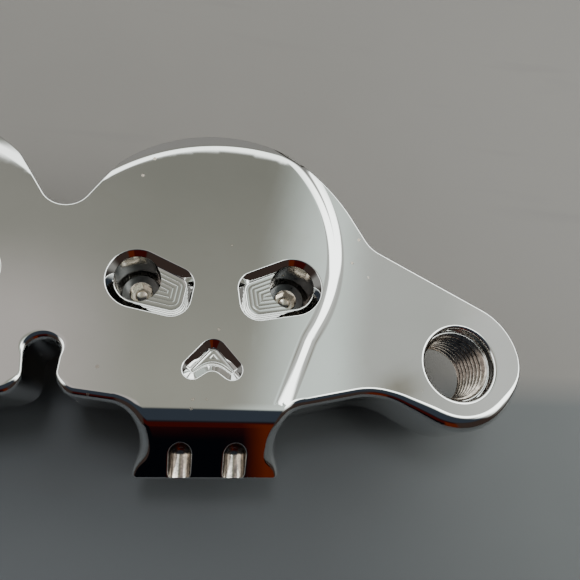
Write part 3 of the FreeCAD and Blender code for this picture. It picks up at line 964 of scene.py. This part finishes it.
def chrome_material():
    """Mirror chrome with a faint haze, fine wipe marks and polish specks; dull and brown in the bores, flutes
    and thread, partly grime and partly painted shade in those hollows.
    """
    n = Nodes("chrome_plate")
    haze = n.noise(28.0, 4.0, 0.6)
    wipe = n.noise(420.0, 2.0, 0.5, (1.0, 0.12, 1.0))
    wipe_two = n.noise(520.0, 2.0, 0.5, (0.1, 1.0, 1.0))
    marks = n.total(n.grey(wipe, 0.68, 0.8), n.grey(wipe_two, 0.7, 0.82))
    cells = n.node("ShaderNodeTexVoronoi", Vector=n.place((1, 1, 1)), Scale=260.0)
    patchy = n.grey(n.noise(45.0, 2.0), 0.58, 0.64)
    specks = n.times(n.grey(cells.outputs["Distance"], 0.14, 0.08), patchy)
    clean = n.ramp(haze, (0.3, (0.73, 0.735, 0.72)), (0.7, (0.79, 0.79, 0.785)))
    smudge = n.grey(n.noise(60.0, 3.0), 0.62, 0.78, 0.0, 0.22)
    tinted = n.blend(smudge, clean, (0.62, 0.55, 0.46))
    bore = n.node("ShaderNodeAttribute", attribute_name="bore").outputs["Fac"]
    # Brown-black colour for the hollows: grime, and also painted shade standing in for the darkness deep in
    # the bores, flutes and thread.
    grime_and_shade = n.ramp(n.noise(700.0, 4.0, 0.7), (0.35, (0.08, 0.055, 0.04)), (0.62, (0.50, 0.42, 0.35)))
    grimy_and_shaded = n.blend(n.times(bore, 0.85), tinted, grime_and_shade)
    n.set(Base_Color=n.blend(specks, grimy_and_shaded, (0.55, 0.47, 0.4)), Metallic=1.0)
    rough = n.total(n.grey(haze, 0.3, 0.75, 0.012, 0.045), n.times(marks, 0.05))
    rough = n.total(rough, n.times(bore, 0.16))
    n.set(Roughness=n.total(rough, n.times(specks, 0.35)))
    n.relief(n.total(n.noise(90.0, 2.0), n.times(marks, 0.02)), 0.06, 0.0002)
    return n.material


def screw_material():
    """Oiled dark steel on the head and thread, with a bright, worn hex socket."""
    n = Nodes("screw_steel")
    cloud = n.noise(220.0, 4.0, 0.6)
    fine = n.noise(2600.0, 3.0, 0.6)
    bright = n.ramp(cloud, (0.3, (0.72, 0.66, 0.58)), (0.7, (0.86, 0.82, 0.74)))
    oiled = n.ramp(cloud, (0.3, (0.10, 0.105, 0.11)), (0.7, (0.24, 0.245, 0.25)))
    bore = n.node("ShaderNodeAttribute", attribute_name="bore").outputs["Fac"]
    n.set(Base_Color=n.blend(bore, bright, oiled), Metallic=1.0)
    rough = n.total(n.grey(cloud, 0.3, 0.7, 0.1, 0.2), n.times(bore, 0.12))
    n.set(Roughness=n.total(rough, n.times(fine, 0.08)))
    n.relief(fine, 0.12, 0.00002)
    return n.material


def floor_material():
    """Grey board with faint scuffs and dust, and painted shade in front of the plate: darker and cooler
    there, darkest midway across as a painted shadow of the plate.
    """
    n = Nodes("floor_paint")
    cloud = n.noise(7.0, 4.0, 0.6)
    dust = n.noise(900.0, 2.0, 0.5)
    scuff = n.grey(n.noise(60.0, 3.0, 0.6, (0.15, 1.0, 1.0)), 0.62, 0.74, 0.0, 0.5)
    base = n.ramp(cloud, (0.3, (0.118, 0.109, 0.101)), (0.7, (0.142, 0.132, 0.123)))
    dusty = n.blend(n.grey(dust, 0.7, 0.78, 0.0, 0.4), base, (0.09, 0.084, 0.078))
    scuffed = n.blend(scuff, dusty, (0.105, 0.098, 0.092))
    place = n.node("ShaderNodeSeparateXYZ", Vector=n.node("ShaderNodeTexCoord").outputs["Object"])
    # Painted shade: in front of the plate the board changes to darker, cooler colours, softly over about 10
    # mm.
    front = n.grey(place.outputs["Y"], FLOOR_SHADE_EDGE + 0.004, FLOOR_SHADE_EDGE - 0.006)
    # The painted shade is darkest midway across, as a painted shadow of the plate, and lighter to either
    # side.
    left, middle, right = (0.065, 0.07, 0.077), (0.048, 0.052, 0.057), (0.062, 0.067, 0.07)
    across = n.grey(place.outputs["X"], -0.02, 0.14)
    shade = n.ramp(across, (0.0, left), (0.55, middle), (1.0, right))
    n.set(Base_Color=n.blend(front, scuffed, shade), Roughness=n.grey(cloud, 0.3, 0.7, 0.45, 0.6))
    n.relief(dust, 0.1, 0.0001)
    return n.material


# ---- stage ----

# Lengths of the room and its lamp are metres; the camera's place is millimetres.
# The last value is the y where the board's painted shade begins.
FLOOR_REACH, FLOOR_GAP, FLOOR_SHADE_EDGE = 2.0, 0.0003, -0.018
ROOM_RADIUS = 1.0
LAMP_PLACE, LAMP_AIM = (0.0, 0.15, 0.7), (0.06, -0.02, 0.0)
LAMP_SIZE, LAMP_POWER = 0.15, 2.5
BACKDROP_COLOUR, BACKDROP_STRENGTH = (0.42, 0.41, 0.4, 1), 0.8
CAMERA_PLACE, CAMERA_LENS = (34.48, -46.85, 150.42), 34.79
CAMERA_FORWARD, CAMERA_UP = (0.15612, 0.32537, -0.93261), (-0.0556, 0.94559, 0.32059)


def layered(base, *layers):
    """Colours that start plain and are covered by each layer in turn, by its share."""
    colours = np.array(base)
    for cover, share in layers:
        colours = colours * (1 - share[:, None]) + np.array(cover) * share[:, None]
    return colours


def room_light(direction):
    """Brightness of the studio in each direction: grey overhead, bright rim, dark towards the viewer."""
    east, north, up = direction[:, 0], direction[:, 1], direction[:, 2]
    tilt = np.degrees(np.arccos(np.clip(up, -1, 1)))
    rise = 90.0 - tilt
    flat = np.maximum(np.hypot(east, north), 1e-6)

    warm = smooth_share(-east, 0.05, 0.30) * (1 - 0.9 * smooth_share(north, 0.22, 0.40))
    # Dim spot in the studio's light, a shadow laid into the glow that darkens its reflection on the ear's
    # rim.
    smudge = np.exp(-((east - 0.415) / 0.035) ** 2 - ((north - 0.12) / 0.03) ** 2)
    rim = smooth_share(tilt + 4.0 * smooth_share(north, 0.26, 0.36), 40.0, 43.5)
    rim = rim * (1 - smooth_share(tilt, 62.0, 68.0))
    panel = smooth_share(east, 0.27, 0.33) * (1 - smooth_share(north, -0.06, 0.02))
    bright = np.maximum(rim, panel * smooth_share(north, -0.25, -0.12))
    light = layered(
        (0.255, 0.257, 0.222),
        ((0.385, 0.385, 0.33), np.clip((0.52 - north) / 0.38, 0, 1)),
        ((0.60, 0.56, 0.53), warm),
        ((0.98, 1.10, 1.03), smooth_share(east + 0.12 * (0.42 - north), 0.14, 0.30)),
        ((0.60, 0.62, 0.58), smooth_share(east, 0.28, 0.37)),
        ((0.76, 0.78, 0.74), smooth_share(east, 0.47, 0.56)),
        ((0.22, 0.20, 0.14), 0.8 * smudge),
        ((2.9, 3.05, 2.95), bright),
        ((4.6, 4.8, 4.65), bright * smooth_share(east / flat, 0.45, 0.75)),
        ((0.30, 0.295, 0.28), smooth_share(tilt, 68.0, 74.0)),
        ((0.05, 0.045, 0.04), smooth_share(tilt, 81.0, 85.0)),
    )
    orange = smooth_share(east, 0.12, 0.17)
    aside = 1 - smooth_share(east / flat, -0.48, -0.38) * (1 - smooth_share(east / flat, 0.36, 0.46))
    front = layered(
        (0.035, 0.045, 0.06),
        ((0.014, 0.011, 0.013), 1 - smooth_share(rise, 30.0, 38.0)),
        ((0.045, 0.0045, 0.003), 1 - smooth_share(rise, 26.0, 32.0)),
        ((0.105, 0.0145, 0.003), (1 - smooth_share(rise, 22.0, 28.0)) * orange),
        ((0.0015, 0.002, 0.0035), (1 - smooth_share(rise, 10.8, 13.0)) * (1 - orange)),
        ((0.045, 0.031, 0.026), aside * (1 - smooth_share(rise, 30.0, 38.0))),
    )
    frontal = smooth_share(-north / flat, 0.15, 0.55) * smooth_share(-north, 0.20, 0.34)
    return layered(light, (front, frontal))


def room():
    """Glowing dome that carries the studio's light, seen only in reflections."""
    rings, columns = 90, 144
    lean = np.linspace(0, math.pi / 2 + 0.012, rings)
    across = np.sin(lean)[:, None, None] * spokes(columns)
    up = np.repeat(np.cos(lean), columns)
    direction = np.column_stack([across.reshape(-1, 2), up])
    index = np.arange(rings * columns).reshape(rings, columns)
    after = np.roll(index, -1, 1)
    quads = np.stack([index[:-1], after[:-1], after[1:], index[1:]], -1).reshape(-1, 4)
    mesh = bpy.data.meshes.new("room")
    mesh.from_pydata((direction * ROOM_RADIUS).tolist(), [], quads.tolist())
    tint = mesh.color_attributes.new("tint", "FLOAT_COLOR", "POINT")
    colours = np.column_stack([room_light(direction), np.ones(len(direction))])
    tint.data.foreach_set("color", colours.ravel())
    material = bpy.data.materials.new("room_glow")
    material.use_nodes = True
    tree = material.node_tree
    tree.nodes.clear()
    glow = tree.nodes.new("ShaderNodeEmission")
    paint = tree.nodes.new("ShaderNodeAttribute")
    paint.attribute_name = "tint"
    out = tree.nodes.new("ShaderNodeOutputMaterial")
    tree.links.new(paint.outputs["Color"], glow.inputs["Color"])
    tree.links.new(glow.outputs[0], out.inputs["Surface"])
    mesh.materials.append(material)
    dome = placed("room", mesh)
    dome.visible_camera = False


def stage_floor():
    """Board just below the screws' tips."""
    size, bottom = FLOOR_REACH, SHANK_TIP * MM - FLOOR_GAP
    mesh = bpy.data.meshes.new("floor")
    corners = [(-size, -size, bottom), (size, -size, bottom), (size, size, bottom), (-size, size, bottom)]
    mesh.from_pydata(corners, [], [(0, 1, 2, 3)])
    mesh.materials.append(floor_material())
    floor = placed("floor", mesh)


def studio():
    """Dome for reflections, soft lamp for the board and plain light behind everything."""
    room()
    data = bpy.data.lights.new("overhead", "AREA")
    data.size, data.energy = LAMP_SIZE, LAMP_POWER
    lamp = placed("overhead", data)
    lamp.location = LAMP_PLACE
    lamp.rotation_euler = (Vector(LAMP_AIM) - Vector(LAMP_PLACE)).to_track_quat("-Z", "Y").to_euler()
    lamp.visible_glossy = False
    world = bpy.data.worlds.new("backdrop")
    world.use_nodes = True
    backdrop = world.node_tree.nodes["Background"]
    backdrop.inputs["Color"].default_value = BACKDROP_COLOUR
    backdrop.inputs["Strength"].default_value = BACKDROP_STRENGTH
    bpy.context.scene.world = world


def add_camera():
    """Close camera over the right skull, looking down with a lean towards the crowns."""
    data = bpy.data.cameras.new("camera")
    data.sensor_width, data.lens = 36.0, CAMERA_LENS
    data.clip_start, data.clip_end = 0.005, 20.0
    camera = placed("camera", data)
    forward = Vector(CAMERA_FORWARD).normalized()
    right = forward.cross(Vector(CAMERA_UP)).normalized()
    pose = Matrix((right, right.cross(forward), -forward)).transposed().to_4x4()
    pose.translation = Vector(CAMERA_PLACE) * MM
    camera.matrix_world = pose
    bpy.context.scene.camera = camera


chrome = chrome_material()
steel = screw_material()
plate = plate_skin().build("skull_plate_polished", chrome)
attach(plate, "plate")
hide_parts("skull_plate")
for screw_name, screw_x in zip(SCREW_NAMES, SCREW_X):
    screw = screw_skin(screw_x).build(screw_name + "_detailed", steel)
    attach(screw, screw_name + "_body")
    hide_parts(screw_name)
stage_floor()
studio()
add_camera()
